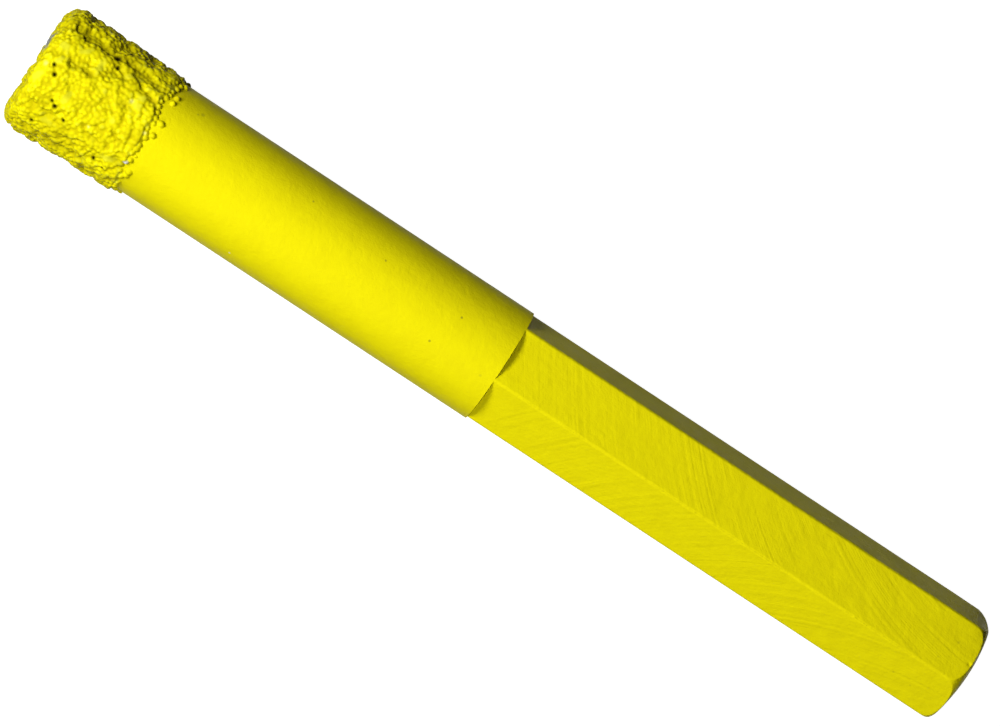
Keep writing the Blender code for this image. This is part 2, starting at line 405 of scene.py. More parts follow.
# The coating over the grit
GRIT_COATING = {
    **COATING,
    "Specular IOR Level": 0.02,
    "Specular Tint": rgb(1.0, 0.95, 0.5),
    "Roughness": 0.45,
    "Coat IOR": 1.02,
}
GRIT_YELLOW = rgb(1.0, 0.91, 0.003)
GRIT_DEEP_YELLOW = rgb(0.95, 0.86, 0.003)
# Painted shade between the grains, and a painted highlight on their tops
SHADE_BETWEEN_GRAINS = rgb(0.76, 0.65, 0.002)
GRAIN_TOP_HIGHLIGHT = rgb(1.0, 0.95, 0.025)
DULL_PATCH = rgb(0.62, 0.53, 0.002)
# Painted shade in the valleys, and the most of it that is laid over the colour
PAINTED_VALLEY_SHADE = rgb(0.45, 0.38, 0.002)
VALLEY_SHADE_SHARE = 0.42
# Whitish paint on pale grains, partly their own paler colour and partly a painted glint
PALE_GRAIN_AND_GLINT = rgb(1.0, 0.93, 0.22)
BARE_GRIT = rgb(1.0, 0.99, 0.93)
DARK_STEEL = rgb(0.18, 0.19, 0.17)
LIGHT_STEEL = rgb(0.44, 0.45, 0.42)
PINHOLE = rgb(0.010, 0.005, 0.0)
GRIT_MOTTLE_SCALE = 2500.0
# The dull patches: the noise's range, and the share of the dull colour at either end of it
DULL_PATCH_SCALE = 420.0
DULL_PATCHES = (0.36, 0.52, 0.45, 0.0)


def grit_material():
    """The same coating over grit, with black pinholes, bare and pale grains, a worn rim, and painted shade
    and highlight.
    """
    material, nodes, shader = new_material("yellow_grit_coating", GRIT_COATING)
    place = nodes.place()
    mottle = nodes.span(nodes.noise(place, GRIT_MOTTLE_SCALE), *MOTTLE_RANGE)
    crest_light = nodes.attribute("crest_light")
    colour = nodes.mix(mottle, GRIT_DEEP_YELLOW, GRIT_YELLOW)
    # Painted shade low between the grains, and a painted highlight high on their tops
    colour = nodes.mix(nodes.span(crest_light, 0.0, 0.5), SHADE_BETWEEN_GRAINS, colour)
    colour = nodes.mix(nodes.span(crest_light, 0.5, 1.0), colour, GRAIN_TOP_HIGHLIGHT)
    patches = nodes.noise(place, DULL_PATCH_SCALE, 1.0)
    colour = nodes.mix(nodes.span(patches, *DULL_PATCHES), colour, DULL_PATCH)
    # Painted shade in the valleys
    colour = nodes.mix(nodes.math("MULTIPLY", nodes.attribute("valley_shade"), VALLEY_SHADE_SHARE), colour, PAINTED_VALLEY_SHADE)
    bare_steel = nodes.mix(mottle, DARK_STEEL, LIGHT_STEEL)
    for mark, paint in (("pale", PALE_GRAIN_AND_GLINT), ("bare", BARE_GRIT), ("worn", bare_steel), ("pit", PINHOLE)):
        colour = nodes.mix(nodes.attribute(mark), colour, paint)
    nodes.feed(shader.inputs["Base Color"], colour)
    return material


# The floor throws little light back at the bit. The camera sees it paler, with a glow over the shadow
FLOOR_BOUNCE = 0.06
FLOOR_SEEN = 0.35
FLOOR_GLOW = 0.96
WORLD_GREY = 0.005
FLOOR_HALF_SIZE = 3.0
FLOOR_GAP = 0.01 * MM
# Where the bit touches the floor: this far from its tip, on the grit, and this far from its end, on a flat
TIP_CONTACT = 2 * MM
END_CONTACT = 0.4 * MM
# Each lamp: its name, its place along X, its distance from the bit's axis, its angle from straight up
# towards the front, its size and its power
LAMPS = (
    ("key", -0.180, 0.165, math.radians(20), 0.100, 0.480),
    ("side", -0.010, 0.350, math.radians(58), 0.120, 0.490),
)


def seen_directly(nodes):
    """1 for rays from the camera, a mirror or glass, 0 for the light that surfaces throw on each other."""
    path = nodes.add("ShaderNodeLightPath").outputs
    seen = nodes.math("ADD", path["Is Camera Ray"], path["Is Glossy Ray"], clamp=True)
    return nodes.math("ADD", seen, path["Is Transmission Ray"], clamp=True)


def floor_material():
    """A pale floor, which the camera sees white with a light shadow."""
    values = {"Roughness": 1.0, "Specular IOR Level": 0.0, "Emission Color": grey(1.0)}
    material, nodes, shader = new_material("pale_floor", values)
    seen = seen_directly(nodes)
    nodes.feed(shader.inputs["Base Color"], nodes.mix(seen, grey(FLOOR_BOUNCE), grey(FLOOR_SEEN)))
    nodes.feed(shader.inputs["Emission Strength"], nodes.math("MULTIPLY", seen, FLOOR_GLOW))
    return material


def add_floor():
    """The floor, under the lowest grains and the end of the lower flat, so it tilts by under a degree."""
    touch_tip = Vector((TIP_X + TIP_CONTACT, 0, crown_low.z))
    touch_end = Vector((END_X - END_CONTACT, 0, -APOTHEM))
    run = touch_end - touch_tip
    normal = Vector((-run.z, 0, run.x)).normalized()
    middle = (touch_tip + touch_end) / 2 - normal * FLOOR_GAP
    along, aside = run.normalized() * FLOOR_HALF_SIZE, Vector((0, FLOOR_HALF_SIZE, 0))
    corners = [middle + along * x + aside * y for x, y in ((-1, -1), (1, -1), (1, 1), (-1, 1))]
    mesh = bpy.data.meshes.new("floor")
    mesh.from_pydata(corners, [], [(0, 1, 2, 3)])
    mesh.materials.append(floor_material())
    floor = new_object("floor", mesh)


def add_lamps():
    """Round lamps that face the middle of the bit."""
    middle = Vector(((TIP_X + END_X) / 2, 0, 0))
    for name, x, distance, to_front, size, power in LAMPS:
        data = bpy.data.lights.new(name, "AREA")
        data.shape = "DISK"
        data.size = size
        data.energy = power
        lamp = new_object(name, data)
        lamp.location = (x, -distance * math.sin(to_front), distance * math.cos(to_front))
        lamp.visible_camera = False
        lamp.rotation_mode = "QUATERNION"
        lamp.rotation_quaternion = (middle - lamp.location).to_track_quat("-Z", "Y")


def add_world():
    """White where the camera sees it, and nearly dark as a source of light."""
    world = bpy.data.worlds.new("studio")
    world.use_nodes = True
    nodes = Nodes(world.node_tree)
    background = world.node_tree.nodes["Background"]
    background.inputs["Color"].default_value = grey(1.0)
    nodes.feed(background.inputs["Strength"], nodes.math("MAXIMUM", seen_directly(nodes), WORLD_GREY))
    bpy.context.scene.world = world


def nose_centre():
    """The centre (x, radius) of the crown's rounded nose, which the rim of the tube shares."""
    return TIP_X + NOSE_LENGTH, BODY_RADIUS + GRIT_AT_TIP - NOSE_DEPTH


def body_columns():
    """Angles round the bar from +Z towards -Y, and the turn of each from the middle of its flat."""
    corner = FLAT_TURN / 2
    inner = spaced(0.0, corner * CORNER_START, COLUMN_STEP)
    outer = spaced(corner * CORNER_START, corner, CORNER_STEP)[1:]
    half = np.concatenate([inner, outer])
    sector = np.concatenate([-half[:0:-1], half[:-1]])
    return np.concatenate([sector + flat * FLAT_TURN for flat in range(FLATS)]), np.tile(sector, FLATS)


def body_profile():
    """The bar's half section as points (x, radius): from the bore's bottom, over the rim, to the end."""
    bore_end = RIM_X + BORE_DEPTH
    bottom = BORE_RADIUS / math.tan(BORE_BOTTOM_HALF_ANGLE)
    shape = [(bore_end + bottom * (1 - share), BORE_RADIUS * share) for share in (0.05, 0.5, 1.0)]
    shape += [(x, BORE_RADIUS) for x in spaced(bore_end, RIM_X, BORE_STEP)[1:]]

    nose_x, nose_r = nose_centre()
    turns = spaced(math.pi / 2, 0.0, RIM_STEP)
    shape += [(nose_x + (RIM_X - nose_x) * math.sin(turn), nose_r + (BODY_RADIUS - nose_r) * math.cos(turn))
              for turn in turns]

    # The shank's end is an arc across the axis, which a smaller arc joins to the bar at edge_x
    arc_x = END_X - END_CROWN_RADIUS
    reach = END_CROWN_RADIUS - END_EDGE_RADIUS
    edge_radius = BODY_RADIUS - END_EDGE_RADIUS
    edge_x = arc_x + math.sqrt(reach**2 - edge_radius**2)
    meeting = math.asin(edge_radius / reach)

    # The round bar: where each stretch ends, and its step, which is fine at the shoulder and before the end
    stretches = (
        (SHOULDER_X - 0.2 * MM, 1.6 * MM),
        (SHOULDER_X - 0.03 * MM, 0.04 * MM),
        (SHOULDER_X + 0.13 * MM, 0.008 * MM),
        (edge_x - 0.3 * MM, 1.6 * MM),
        (edge_x, 0.05 * MM),
    )
    for stretch_end, step in stretches:
        shape += [(x, BODY_RADIUS) for x in spaced(shape[-1][0], stretch_end, step)[1:]]

    turns = spaced(math.pi / 2, meeting, END_EDGE_STEP / END_EDGE_RADIUS)[1:]
    shape += [(edge_x + END_EDGE_RADIUS * math.cos(turn), edge_radius + END_EDGE_RADIUS * math.sin(turn))
              for turn in turns]
    turns = spaced(meeting, 0.0, END_CROWN_STEP / END_CROWN_RADIUS)[1:-1]
    shape += [(arc_x + END_CROWN_RADIUS * math.cos(turn), END_CROWN_RADIUS * math.sin(turn))
              for turn in turns]
    return np.array(shape)


def add_body():
    """The bar with its bore, shoulder and flats, in finer steps than the solid, and with softer edges."""
    profile = body_profile()
    x, radius = profile[:, 0][:, None], profile[:, 1][:, None]
    angle, sector = (columns[None, :] for columns in body_columns())
    first_outside = np.argmax(radius > BORE_RADIUS + 1e-6)
    outside = np.arange(len(profile))[:, None] > first_outside

    shoulder = BODY_RADIUS - (x - SHOULDER_X) * math.tan(SHOULDER_ANGLE)
    flat = soft_max(APOTHEM / np.cos(sector), shoulder, SHOULDER_SOFTNESS)
    cut = np.where(outside, soft_min(radius, flat, EDGE_SOFTNESS), radius)
    on_upper_flat = np.abs(angle) < FLAT_TURN / 2
    for from_end, aside, size, depth in END_DENTS:
        away = np.hypot(x - (END_X - from_end), APOTHEM * np.tan(sector) - aside) / size
        cut = cut - depth * np.exp(-(away**2)) * outside * on_upper_flat
    depth, length, centre, spread = END_WEAR
    rise = np.clip((x - (END_X - length)) / length, 0.0, 1.0) ** END_WEAR_POWER
    near = np.exp(-((wrapped(angle - centre) / spread) ** 2))
    cut = cut * (1 - depth / BODY_RADIUS * rise * near * outside)

    mesh = grid_mesh("bit_body_coated", round_points(x, cut, angle))
    # The milling marks bend one way on every second flat, and the other way on the flats between
    side = np.where(np.round(angle / FLAT_TURN) % 2 == 0, 1.0, -1.0)
    add_layer(mesh, "across", APOTHEM * np.tan(sector) * side * np.ones_like(x))
    mesh.shade_smooth()
    mesh.set_sharp_from_angle(angle=SHARP_ANGLE)
    mesh.materials.append(body_material())
    body = new_object("bit_body_coated", mesh)
    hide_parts("bit_body")
    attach(body, "root")


# The mesh of the grit
GRIT_COLUMNS = 440
GRIT_STEP = 0.0565 * MM
GRIT_SEED = 21
# The outer wall's rows reach this far down the nose. The seat keeps this far from the rounded rim's corner
WALL_DROP = 0.4 * MM
SEAT_CORNER = 0.6 * MM
# Depths below the tops of the grains: the coating between grains, and broad lumps and finer ripples in it,
# with their wave lengths, the number of waves, and what multiplies their hollows and their rises
COVER_DEPTH = 0.125 * MM
LUMPS = (0.120 * MM, (0.8 * MM, 2.4 * MM), 16, 1.5, 0.5)
RIPPLES = (0.055 * MM, (0.5 * MM, 1.1 * MM), 18, 1.3, 0.7)
# Depths shrink where the layer is thinner than this, down to this share. It counts as this thick at least
FULL_LAYER = 0.42 * MM
THIN_LAYER_SHARE = 0.6
LEAST_LAYER = 0.22 * MM
# How gently grains level off at the top of the layer, and hollows at their floor. The floor lies at this
# share of the layer's depth, and a grain keeps this share of its height there
TOP_SOFTNESS = 0.060 * MM
HOLLOW_SOFTNESS = 0.100 * MM
HOLLOW_REACH = 0.85
GRAINS_IN_HOLLOWS = 0.7
# Grains: the largest lie at least GRAIN_SPACING apart, smaller ones closer in proportion
GRAIN_TRIES = 16000
GRAIN_SPACING = 0.3105 * MM
GRAIN_RADII = (0.150 * MM, 0.270 * MM)
GRAIN_HEIGHTS = (0.070 * MM, 0.150 * MM)
GRAIN_SOFTNESS = 0.012 * MM
COMPACT_GRAINS = 0.85
COMPACT_STRETCH = (1.0, 1.3)
LONG_STRETCH = (1.4, 1.9)
VALLEY_DEPTH = 0.150 * MM
# Painted shade in a valley follows its depth up to this share of VALLEY_DEPTH
DARKEST_VALLEY = 1.3
SWELLING_HEIGHT = 0.105 * MM
SWELLING_POWER = 1.3
SWELLING_COVERS = 0.9
PALE_GRAIN_HEIGHT = 0.03 * MM
PIT_DEPTH = 0.10 * MM
PIT_WIDENING = 1.15
PIT_SHARPNESS = 1.3
# How strongly a pinhole and the bare grain are painted at the middle, and how much less the grain at its rim
PIT_STRENGTH = 1.5
BARE_STRENGTH, BARE_FALL = 1.9, 1.7
# What a place behind the edge adds to the painted highlight, from this part of the fall on, and what a pale
# grain adds
BEHIND_CREST, BEHIND_FROM = 0.35, 0.2
PALE_CREST = 2
# The rear edge: its random waves (height, lengths, number), the run over which the layer falls away, how
# far inside it the grains end and the fall has its middle, and the turn from the seen part to the random one
EDGE_WAVES = (0.12 * MM, (0.5 * MM, 3.0 * MM), 14)
EDGE_FALL = 0.36 * MM
EDGE_TUCK = 0.05 * MM
EDGE_BLEND = math.radians(8)
# Single grains at the rear edge: the least distance between them in mm, their sizes in pixels, their shares
# of the height, what multiplies their size, their height, how far under the tube's surface they start, how
# softly they meet the rest, and the power of their dome
BEAD_TRIES = 900
BEAD_SPACING = (0.28, 0.42)
BEAD_SIZES = (2.8, 4.6)
BEAD_SHARES = (0.75, 1.15)
BEAD_WIDENING = 1.15
BEAD_HEIGHT = 0.21 * MM
BEAD_FOOT = 0.04 * MM
BEAD_SOFTNESS = 0.03 * MM
BEAD_POWER = 0.65
# How far behind the edge they lie in mm, as a middle and a spread. On the unseen sides some are strays
BEADS_BEHIND = (-0.05, 0.05)
STRAYS_BEHIND = (0, 0.3)
STRAYS_FROM = 0.7
# The picture shows the side round this angle, out to this turn from it
SEEN_MIDDLE = TURN_FROM_FLAT
SEEN_HALF_TURN = math.radians(96)
# Random marks on the unseen sides. Valleys: their number, the middle and the spread of their headings, and
# the ranges of their lengths in mm, their widths in pixels and their shares of VALLEY_DEPTH
UNSEEN_VALLEYS = 75
VALLEY_HEADINGS = (0.3, 0.5)
VALLEY_LENGTHS = (0.4, 1.9)
VALLEY_WIDTHS = (2.0, 5.0)
VALLEY_SHARES = (0.5, 1.3)
# Swellings: their number, and the ranges of their lengths and widths in pixels and shares of SWELLING_HEIGHT
UNSEEN_SWELLINGS = 45
SWELLING_LENGTHS = (4, 9)
SWELLING_WIDTHS = (3, 5)
SWELLING_SHARES = (0.5, 1.0)
# Pinholes: their number, and the range of their radii in pixels
UNSEEN_PITS = 34
PIT_RADII = (1.4, 2.4)
# How far these marks keep from the rear end of the path and from its end in the bore
MARK_MARGINS = (0.9 * MM, 0.8 * MM)
PIT_MARGINS = (1.2 * MM, 0.6 * MM)
# The bare rim: from and to this angle, between these radii, and how softly it ends round the rim and
# across it
WORN_RIM = (math.radians(-26), math.radians(5), 2.30 * MM, 3.55 * MM)
WORN_SOFTNESS = (math.radians(12), 0.35 * MM)
WORN_STRENGTH = 3.2
WORN_WAVES = ((0.3 * MM, 0.9 * MM), 12)

# Marks on the grit, each by its place in the picture (along, across) and its sizes in pixels
# Black pinholes: place and radius
PITS = (
    (11.7, -62.5, 2.6), (41.7, -65.3, 2.2), (22.0, -65.5, 1.4), (58.5, -64.3, 1.6), (95.8, -64.2, 1.9),
    (71.9, -49.4, 3.0), (76.4, -41.3, 2.0), (145.5, -39.7, 1.7), (21.4, -6.9, 1.8), (27.0, 1.5, 2.1),
    (39.2, 25.3, 1.8), (44.5, 28.6, 2.2), (59.3, 35.6, 1.9), (32.6, 52.9, 1.9), (105.2, 53.1, 2.0),
    (117.8, 55.2, 1.4), (80.5, -59.5, 2.0),
)
# Valleys, with painted shade in them: from one place to another, width, and depth as a share of VALLEY_DEPTH
VALLEYS = (
    (8, -45, 22, -51, 4.0, 0.7), (28, -52, 56, -51, 6.5, 1.4), (56, -49, 74, -49, 5.0, 1.2),
    (36, -20, 60, -20, 5.0, 1.1), (12, -19, 24, -20, 3.0, 0.6), (66, -13, 82, -11, 4.0, 0.6),
    (95, -45, 109, -36, 3.0, 1.0), (82, -41, 89, -34, 2.5, 0.7), (84, -52, 130, -46, 4.6, 1.3),
    (117, -36, 136, -24, 3.2, 1.1), (100, -12, 110, -12, 4.0, 1.0), (4, 36, 22, 37, 3.2, 0.7),
    (22, 38, 46, 39, 3.6, 1.0), (30, 31, 38, 32, 3.4, 0.6), (50, 62, 95, 60, 4.6, 1.1),
    (22, 59, 42, 61, 4.0, 1.0), (88, 34, 97, 36, 3.6, 1.2), (108, 18, 120, 26, 2.4, 0.9),
    (81, 30, 91, 23, 2.0, 0.7), (124, 42, 133, 44, 5.0, 1.3), (100, 64, 104, 69, 3.0, 1.8),
    (78, -64, 84, -65, 4.0, 1.0), (99, -62, 106, -63, 4.5, 1.3), (136, -59, 144, -57, 4.0, 1.2),
    (14, -75, 16, -75, 2.5, 1.2), (48, -75, 50, -75, 3.0, 1.2), (71, -75, 74, -75, 3.0, 1.6),
    (96, -75, 98, -75, 2.5, 1.2), (115, -75, 119, -75, 2.5, 1.2), (57, 2, 68, -3, 2.0, 0.5),
    (101, 75, 103, 75, 3.0, 3.0), (49, 75, 51, 75, 3.0, 1.0), (71, 75, 73, 75, 3.0, 1.2),
    (40, 0, 48, 4, 2.2, 0.5), (100, 28, 112, 34, 2.2, 0.6), (64, 14, 72, 12, 2.4, 0.5),
    (70, 52, 84, 44, 2.4, 0.7), (92, -2, 100, 4, 2.2, 0.5),
)
# Smooth swellings under the coating: place, length, width, heading in degrees, and share of SWELLING_HEIGHT
SWELLINGS = (
    (61, -32, 9, 4, 90, 0.9), (19, -28, 8, 5, -20, 0.8), (41, -35, 7, 3.2, 40, 0.8),
    (23, -13, 6, 3, 60, 0.6), (113, -18, 5, 4.5, 0, 1.0), (113, -27, 6, 4, 40, 0.7), (101, 9, 4, 4, 0, 0.8),
    (102, -44, 6, 3, 60, 0.9), (121, -44, 5, 2.4, 50, 0.8), (92, -40, 9, 3.4, 45, 0.7),
    (38, -75, 6, 5, 0, 1.3), (22, -75, 4, 4, 0, 1.0), (64, -75, 8, 4, 0, 0.9), (86, -75, 5, 4, 0, 0.9),
    (133, -75, 9, 4, 0, 1.0), (132, -54, 8, 3.4, 15, 0.9), (46, 46, 8, 4, 0, 0.5), (12, 12, 9, 5, 70, 0.6),
    (50, 14, 4, 9, 0, 0.6), (118, 44, 10, 5, 20, 0.5),
)
# Pale grains, painted whitish for their own paler colour and for a painted glint: place and size
PALE_GRAINS = ((12.6, -3.4, 1.8), (106.3, -19.4, 1.8), (51.5, -64.6, 1.4), (84, 28, 1.2), (134.5, 1.0, 1.5))
# Grains that stand clear at the rear edge: place, size, and share of BEAD_HEIGHT
BEADS = (
    (143.5, -65, 3.6, 1.0), (142.8, -50.0, 3.1, 1.1), (142.0, -43.2, 3.1, 1.1), (143.5, -17, 4.0, 1.1),
    (143.0, -1.5, 3.4, 1.0), (136.9, -13.5, 3.0, 0.8), (137.4, 4.6, 3.6, 1.0), (136.5, 15, 3.4, 1.0),
    (137.4, 34.2, 3.2, 1.1), (142.6, 46.8, 3.8, 0.9), (141.8, 51.2, 3.8, 0.9), (137.5, 54.6, 3.8, 0.9),
    (130.6, -38, 3.0, 1.0), (131.5, -32, 3.2, 1.0), (134, -26, 3.2, 0.9), (140.2, 28, 1.8, 0.5),
    (134.7, -53, 3.4, 1.0), (135.4, 0.2, 3.0, 1.0), (134.5, 26.5, 3.4, 1.0),
)
BARE_GRAIN = (134.7, 38.0, 2.9, 1.2)
# The rear edge of the grit, from the picture's upper side to its lower side
REAR_EDGE = (
    (141, -75), (140, -62), (137, -54), (134, -46), (130, -38), (131.5, -30), (135, -20), (135.5, -12),
    (133, -6), (135.5, 2), (136.5, 10), (136, 20), (134, 28), (137, 36), (132, 43), (136.5, 52), (138, 60),
    (138, 75),
)


def grit_path():
    """The half section over the tops of the grains: points (x, radius), and outward directions."""
    nose_x, nose_r = nose_centre()
    rear_x = TIP_X + GRIT_LENGTH
    bore_wall = BORE_RADIUS - GRIT_IN_BORE
    mouth_x, mouth_r = TIP_X + MOUTH_ROUNDING, bore_wall + MOUTH_ROUNDING
    rows = []
    for x in spaced(rear_x + GRIT_SKIRT, nose_x, GRIT_STEP)[:-1]:
        share = min((x - nose_x) / (rear_x - nose_x), 1.0)
        rows.append((x, BODY_RADIUS + GRIT_AT_TIP + (GRIT_AT_REAR - GRIT_AT_TIP) * share, 0.0, 1.0))
    for turn in spaced(math.pi / 2, math.pi, 1.1 * GRIT_STEP / NOSE_DEPTH):
        out = Vector((math.cos(turn) / NOSE_LENGTH, math.sin(turn) / NOSE_DEPTH)).normalized()
        rows.append((nose_x + NOSE_LENGTH * math.cos(turn), nose_r + NOSE_DEPTH * math.sin(turn), *out))
    for radius in spaced(nose_r, mouth_r, GRIT_STEP)[1:-1]:
        rows.append((TIP_X, radius, -1.0, 0.0))
    for turn in spaced(math.pi, 1.5 * math.pi, GRIT_STEP / MOUTH_ROUNDING):
        rows.append((mouth_x + MOUTH_ROUNDING * math.cos(turn), mouth_r + MOUTH_ROUNDING * math.sin(turn),
                     math.cos(turn), math.sin(turn)))
    for x in spaced(mouth_x, TIP_X + GRIT_INSIDE_LENGTH, 1.5 * GRIT_STEP)[1:]:
        rows.append((x, bore_wall, 0.0, -1.0))
    return np.array(rows)


def oval(along, round_way, heading, length, width):
    """The square of the distance from the middle of an oval, which is 1 on its rim."""
    lengthwise = (along * math.cos(heading) + round_way * math.sin(heading)) / length
    sideways = (-along * math.sin(heading) + round_way * math.cos(heading)) / width
    return lengthwise * lengthwise + sideways * sideways


class GritField:
    """The grit on rows along the path and columns round the bit.

    sink is the depth of the coating below the tops of the grains, grains the height of single grains over
    the coating, a share for a painted highlight where a swelling hides them, and pits the depth of the
    pinholes. room is the depth of the whole layer, and paint the strength of each kind of mark. A place is a
    distance along the path and an angle.
    """

    def __init__(self, seed):
        self.rng = np.random.default_rng(seed)
        self.x, self.radius, self.out_x, self.out_r = grit_path().T
        self.travel = np.concatenate([[0.0], np.cumsum(np.hypot(np.diff(self.x), np.diff(self.radius)))])
        self.angle = math.tau * np.arange(GRIT_COLUMNS) / GRIT_COLUMNS
        layer = np.maximum.reduce([self.radius - BODY_RADIUS, RIM_X - self.x, BORE_RADIUS - self.radius])
        self.room = np.maximum(layer, LEAST_LAYER)[:, None]
        shape = (len(self.x), GRIT_COLUMNS)
        self.sink = np.full(shape, COVER_DEPTH)
        self.grains = np.zeros(shape)
        self.smooth = np.zeros(shape)
        self.pits = np.zeros(shape)
        self.paint = {name: np.zeros(shape) for name in ("pit", "bare", "pale", "worn", "valley_shade")}

    def waves(self, lengths, count):
        """Smooth random waves, from about -1 to 1, that meet themselves all the way round."""
        total = np.zeros_like(self.sink)
        for _ in range(count):
            length = self.rng.uniform(*lengths)
            turn = self.rng.uniform(0, math.tau)
            round_count = round(math.tau * BODY_RADIUS * math.sin(turn) / length)
            phase = self.rng.uniform(0, math.tau)
            total += np.sin((math.tau * math.cos(turn) / length * self.travel + phase)[:, None]
                            + round_count * self.angle[None, :])
        return total / math.sqrt(2 * count)

    def on_path(self, values, travel):
        """The value at a distance along the path, from one value for each row."""
        return float(np.interp(travel, self.travel, values))

    def travel_at(self, x):
        """The distance along the path on the outer wall, at a place along X."""
        wall = self.radius > BODY_RADIUS - WALL_DROP
        return float(np.interp(-x, -self.x[wall], self.travel[wall]))

    def place(self, along, across):
        """The place of a point of the picture."""
        x, angle = on_bit(along, across, BODY_RADIUS + (GRIT_AT_TIP + GRIT_AT_REAR) / 2)
        return self.travel_at(x), angle

    def block(self, travel, angle, reach):
        """The part of the field within reach of a place, and the steps from it along the path and round."""
        rows = np.abs(self.travel - travel) < reach
        turn = wrapped(self.angle - angle)
        columns = np.abs(turn) * self.on_path(self.radius, travel) < reach
        along = (self.travel[rows] - travel)[:, None]
        round_way = turn[columns][None, :] * self.radius[rows][:, None]
        return np.ix_(rows, columns), along, round_way

    def mark(self, name, block, strength):
        """Paints a mark, where it isn't stronger already."""
        self.paint[name][block] = np.maximum(self.paint[name][block], strength)

    def stroke(self, start, end, width, depth):
        """A soft groove from one place to another, with painted shade in it."""
        run = Vector((end[0] - start[0], wrapped(end[1] - start[1]) * BODY_RADIUS))
        half = run.length / 2
        middle = (start[0] + run.x / 2, start[1] + run.y / 2 / BODY_RADIUS)
        block, along, round_way = self.block(*middle, half + 3 * width)
        direction = run.normalized()
        nearest = np.clip(along * direction.x + round_way * direction.y, -half, half)
        away = np.hypot(along - nearest * direction.x, round_way - nearest * direction.y)
        bell = np.exp(-((away / width) ** 2))
        self.sink[block] += depth * bell
        # Painted shade in the groove, darker where it is deeper
        self.mark("valley_shade", block, min(depth / VALLEY_DEPTH, DARKEST_VALLEY) * bell)

    def swell(self, place, length, width, heading, height):
        """A gently rounded oval swelling that hides the grains under it, with a painted highlight over it.
        """
        block, along, round_way = self.block(*place, 2.2 * max(length, width))
        bell = np.exp(-oval(along, round_way, heading, length, width) ** SWELLING_POWER)
        self.sink[block] -= height * bell
        self.grains[block] *= 1 - SWELLING_COVERS * bell
        # Where a swelling lies, for a painted highlight over it
        self.smooth[block] = np.maximum(self.smooth[block], bell)


def rear_edge(field):
    """Where the grit ends along X at each angle: as seen in the picture, and as a random wave elsewhere."""
    height, lengths, count = EDGE_WAVES
    wave = TIP_X + GRIT_LENGTH + height * field.waves(lengths, count)[0]
    seen = sorted(on_bit(along, across, BODY_RADIUS + GRIT_AT_REAR)[::-1] for along, across in REAR_EDGE)
    turn = wrapped(field.angle)
    drawn = np.interp(turn, [angle for angle, x in seen], [x for angle, x in seen])
    margin = np.minimum(turn - seen[0][0], seen[-1][0] - turn) / EDGE_BLEND
    share = np.clip(margin, 0.0, 1.0)
    return drawn * share + wave * (1 - share)


def add_waves(field):
    """Broad lumps and finer ripples in the coating."""
    for depth, lengths, count, hollows, rises in (LUMPS, RIPPLES):
        waves = field.waves(lengths, count)
        field.sink += depth * np.where(waves > 0, hollows * waves, rises * waves)


def scatter_grains(field, edge):
    """Places for grains a little apart from each other, and the radius of each."""
    rng = field.rng
    spots = []
    taken = np.zeros((GRAIN_TRIES, 3))
    for _ in range(GRAIN_TRIES):
        travel = rng.uniform(0, field.travel[-1])
        angle = rng.uniform(0, math.tau)
        x = field.on_path(field.x, travel)
        radius = field.on_path(field.radius, travel)
        size = rng.uniform(*GRAIN_RADII)
        # Fewer tries count where the round is smaller, so that the grains lie equally close everywhere
        if rng.uniform() > radius / (BODY_RADIUS + GRIT_AT_TIP):
            continue
        beyond = x - float(np.interp(angle, field.angle, edge, period=math.tau))
        if radius > BODY_RADIUS and beyond > -EDGE_TUCK:
            continue
        point = (x, radius * math.sin(angle), radius * math.cos(angle))
        gaps = np.sum((taken[:len(spots)] - point) ** 2, axis=1)
        if spots and gaps.min() < (GRAIN_SPACING * size / GRAIN_RADII[1]) ** 2:
            continue
        taken[len(spots)] = point
        spots.append((travel, angle, size))
    return spots


def add_grains(field, spots):
    """A low oval dome for each grain."""
    rng = field.rng
    for travel, angle, size in spots:
        compact = rng.uniform() < COMPACT_GRAINS
        stretch = rng.uniform(*(COMPACT_STRETCH if compact else LONG_STRETCH))
        heading = rng.uniform(0, math.pi)
        height = rng.uniform(*GRAIN_HEIGHTS) * (size / GRAIN_RADII[1]) ** 0.5
        block, along, round_way = field.block(travel, angle, 1.05 * size * stretch)
        away = oval(along, round_way, heading, size * stretch**0.5, size / stretch**0.5)
        dome = np.clip(1 - away, 0, 1)
        field.grains[block] = soft_max(field.grains[block], height * dome, GRAIN_SOFTNESS)


def add_seen_marks(field):
    """The valleys, swellings and pale grains that the picture shows, each at its place, with a painted glint
    on the pale grains.
    """
    for start_along, start_across, end_along, end_across, width, depth in VALLEYS:
        start, end = field.place(start_along, start_across), field.place(end_along, end_across)
        field.stroke(start, end, width * PIXEL, depth * VALLEY_DEPTH)
    for along, across, length, width, heading, height in SWELLINGS:
        field.swell(field.place(along, across), length * PIXEL, width * PIXEL, math.radians(heading),
                    height * SWELLING_HEIGHT)
    for along, across, size in PALE_GRAINS:
        block, along_path, round_way = field.block(*field.place(along, across), 3 * size * PIXEL)
        bell = np.exp(-((np.hypot(along_path, round_way) / (size * PIXEL)) ** 2))
        # Whitish paint, partly the grain's own colour and partly a painted glint
        field.mark("pale", block, bell)
        field.grains[block] += PALE_GRAIN_HEIGHT * bell


def unseen_angle(rng):
    """An angle at random on the sides that the picture doesn't show."""
    return SEEN_MIDDLE + rng.uniform(SEEN_HALF_TURN, math.tau - SEEN_HALF_TURN)


